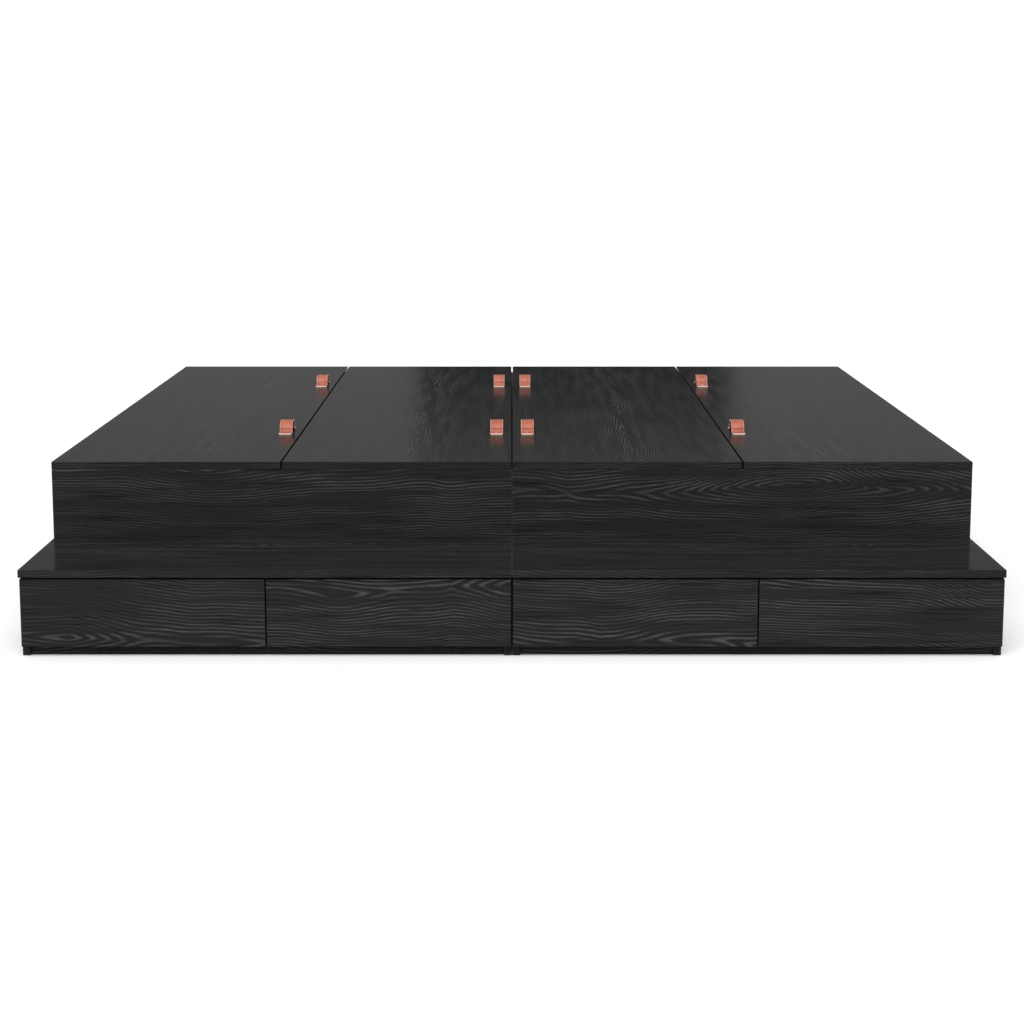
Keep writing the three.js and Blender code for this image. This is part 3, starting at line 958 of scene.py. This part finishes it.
class BED_OT_fittings(bpy.types.Operator):
    """Builds the cam lock covers, the bumpers under the lids and behind the drawers, and the foam tape"""

    bl_idname = "bed.fittings"
    bl_label = "Fittings"

    CAM_RADIUS = 0.0085
    CAM_INSET = 0.034  # from the riser and from the back
    CAM_HEIGHTS = (0.075, 0.255)
    LID_BUMPER = 0.004
    LID_BUMPERS = (0.06, 0.44, 0.56, 0.94)  # distances from the joint between the modules
    STUD = 0.0026
    STUD_HEIGHTS = (0.055, 0.130)
    STUD_OFFSET = 0.0052  # of the two studs on a divider, one for each drawer

    def execute(self, context):
        parts = ("riser", "back", "outer_side", "partition", "inner_side")
        for module, side in MODULES.items():
            box = {part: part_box(f"{module}_box_{part}") for part in parts}
            self.cams(module, side, box)
            self.bumpers(module, side, box)
        self.spacer()
        return {"FINISHED"}

    def spacer(self):
        """Foam tape just inside the modules' joint: black under the lids, where its black is painted shade
        that keeps the lids' seam dark though the sun shines down it, and charcoal at the front.
        """
        riser, panel, step = map(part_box, ("left_box_riser", "left_box_inner_side", "left_step_top"))
        slack, inset, width, tape = 0.00005, 0.0006, 0.040, 0.012
        left = riser[1][X] + slack
        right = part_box("right_box_riser")[0][X] - slack
        front, rear, top = riser[0][Y] + inset, riser[0][Y] + tape, riser[1][Z] - inset
        bm = bmesh.new()
        for number, low, high in (
            # This black strip under the lids is painted shade in the seam.
            (0, (rear, riser[1][Z] - width), (panel[1][Y], top)),
            (1, (front, step[1][Z] - 0.010), (rear, top)),
            (1, (step[0][Y] + inset, step[1][Z] - tape), (front, step[1][Z] - inset)),
        ):
            join(bm, block((left, *low), (right, *high)), finish_number=number)
        new_piece("module_spacer_tape", bm, "carcass", "black_oak", "shade_black_foam", "charcoal_foam")

    def cams(self, module, side, box):
        """Covers on the side panels' inner faces, near the riser and near the back."""
        bm = bmesh.new()
        inner = {"outer_side": -side, "partition": side, "inner_side": side}
        rows = (box["riser"][1][Y] + self.CAM_INSET, box["back"][0][Y] - self.CAM_INSET)
        for part, facing in inner.items():
            face = box[part][1][X] if facing > 0 else box[part][0][X]
            for y in rows:
                for z in self.CAM_HEIGHTS:
                    cover = disc(self.CAM_RADIUS, 0, 0.0011, 24, 0.9)
                    top = top_face(cover)
                    bmesh.ops.inset_region(cover, faces=[top], thickness=0.0035)
                    carry(cover, top, (0, 0, -0.0006))
                    join(bm, cover, at(face, y, z, along_x(facing)))
        new_piece(f"{module}_cam_covers", bm, "carcass", "black_oak", "black_nylon", smooth=True)

    def bumpers(self, module, side, box):
        """Thin discs on the riser's and the back's top edges, and on the step sides' front edges."""
        bm = bmesh.new()
        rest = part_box("lid_1")[0][Z] - box["riser"][1][Z] - 0.00005
        for part in ("riser", "back"):
            low, high = box[part]
            for x in self.LID_BUMPERS:
                pad = disc(self.LID_BUMPER, 0, rest, 16, 0.92)
                join(bm, pad, at(side * x, (low[Y] + high[Y]) / 2, high[Z]))
        for part in ("outer_side", "divider", "inner_side"):
            low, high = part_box(f"{module}_step_{part}")
            offsets = (-self.STUD_OFFSET, self.STUD_OFFSET) if part == "divider" else (0,)
            for z in self.STUD_HEIGHTS:
                for x in offsets:
                    stud = disc(self.STUD, 0, 0.0004, 16, 0.92)
                    join(bm, stud, at((low[X] + high[X]) / 2 + x, low[Y], z, FORWARD))
        new_piece(f"{module}_bumpers", bm, "carcass", "drawer_board", "grey_nylon", smooth=True)


class BED_OT_stage(bpy.types.Operator):
    """Sets up the floor, the light and the camera"""

    bl_idname = "bed.stage"
    bl_label = "Stage"

    def execute(self, context):
        self.floor()
        self.sky(context.scene)
        self.lamp()
        self.camera(context.scene)
        context.scene.view_settings.view_transform = "Standard"
        return {"FINISHED"}

    def floor(self):
        bm = bmesh.new()
        bmesh.ops.create_grid(bm, x_segments=1, y_segments=1, size=60)
        mesh = bpy.data.meshes.new("studio_floor")
        bm.to_mesh(mesh)
        bm.free()
        material, tree = new_material("matt_studio_floor")
        skin = {"Base Color": (0.86, 0.86, 0.86, 1), "Roughness": 0.9, "Specular IOR Level": 0.1}
        add(tree, "OutputMaterial", (add(tree, "BsdfPrincipled", skin),))
        mesh.materials.append(material)
        floor = bpy.data.objects.new("studio_floor", mesh)
        bpy.context.scene.collection.objects.link(floor)

    def sky(self, scene):
        """A white room to the eye; what it sheds on the bed is brighter above than at the horizon."""
        world = bpy.data.worlds.new("studio")
        world.use_nodes = True
        scene.world = world
        tree = world.node_tree
        tree.nodes.clear()
        direction = add(tree, "TexCoord", out="Generated")
        sideways = add(tree, "SeparateXYZ", (direction,))
        forward = add(tree, "SeparateXYZ", (direction,), out=1)
        upward = add(tree, "SeparateXYZ", (direction,), out=2)
        glow = add(tree, "MapRange", (upward, 0.15, 0.75, 0.17, 0.8), **SMOOTH)
        # Low behind the bed the room is brighter; that is what the lids mirror.
        behind = add(tree, "MapRange", (forward, -0.1, 0.1), **SMOOTH)
        backdrop = add(tree, "MapRange", (upward, 0.10, 0.16, 0.235, 0.315))
        backdrop = add(tree, "Math", (backdrop, behind), operation="MULTIPLY")
        glow = add(tree, "Math", (glow, backdrop), operation="MAXIMUM")
        # A dark screen stands there, a little right of the bed's middle.
        middle, half_width, blur = 0.0282, 0.068, 0.006
        offset = add(tree, "Math", (sideways, middle), operation="SUBTRACT")
        offset = add(tree, "Math", (offset,), operation="ABSOLUTE")
        beside = add(tree, "MapRange", (offset, half_width, half_width + blur), **SMOOTH)
        above = add(tree, "MapRange", (upward, 0.115, 0.18), **SMOOTH)
        in_front = add(tree, "Math", (1.0, behind), operation="SUBTRACT")
        open_sky = add(tree, "Math", (beside, above), operation="MAXIMUM")
        open_sky = add(tree, "Math", (open_sky, in_front), operation="MAXIMUM")
        glow = add(tree, "Math", (glow, open_sky), operation="MULTIPLY")
        seen = add(tree, "LightPath", out="Is Camera Ray")
        strength = add(tree, "Math", (glow, seen), operation="MAXIMUM")
        sky = add(tree, "Background", {"Color": (1, 1, 1, 1), "Strength": strength})
        add(tree, "OutputWorld", (sky,))

    def lamp(self):
        light = bpy.data.lights.new("overhead_softbox", "SUN")
        light.energy = 3.6
        light.angle = math.radians(60)
        lamp = bpy.data.objects.new("overhead_softbox", light)
        bpy.context.scene.collection.objects.link(lamp)
        lamp.rotation_euler = (math.radians(52), math.radians(-8), 0)

    def camera(self, scene):
        lens = bpy.data.cameras.new("camera")
        lens.lens = 77.14
        lens.sensor_width = 36
        lens.clip_end = 200
        camera = bpy.data.objects.new("camera", lens)
        scene.collection.objects.link(camera)
        camera.location = (0, -5.5306, 1.0472)
        camera.rotation_euler = (math.radians(90 - 9.728), 0, 0)
        scene.camera = camera


OPERATORS = (
    BED_OT_carcass,
    BED_OT_lids,
    BED_OT_pulls,
    BED_OT_hinges,
    BED_OT_drawers,
    BED_OT_runners,
    BED_OT_fittings,
    BED_OT_stage,
)


class BED_PT_panel(bpy.types.Panel):
    """Lists the bed's sizes, colours and steps"""

    bl_idname = "BED_PT_panel"
    bl_label = "Black oak platform bed"
    bl_space_type = "VIEW_3D"
    bl_region_type = "UI"
    bl_category = "Bed"

    def draw(self, context):
        for group in (context.scene.bed_sizes, context.scene.bed_colours):
            for name in group.__annotations__:
                self.layout.prop(group, name)
        for operator in OPERATORS:
            self.layout.operator(operator.bl_idname)


CLASSES = (BedSizes, BedColours, *OPERATORS, BED_PT_panel)


def register():
    for cls in CLASSES:
        bpy.utils.register_class(cls)
    bpy.types.Scene.bed_sizes = bpy.props.PointerProperty(type=BedSizes)
    bpy.types.Scene.bed_colours = bpy.props.PointerProperty(type=BedColours)


def unregister():
    del bpy.types.Scene.bed_colours
    del bpy.types.Scene.bed_sizes
    for cls in reversed(CLASSES):
        bpy.utils.unregister_class(cls)


def main():
    register()
    for operator in OPERATORS:
        group, name = operator.bl_idname.split(".")
        getattr(getattr(bpy.ops, group), name)()
    bpy.context.view_layer.update()


if __name__ == "__main__":
    main()
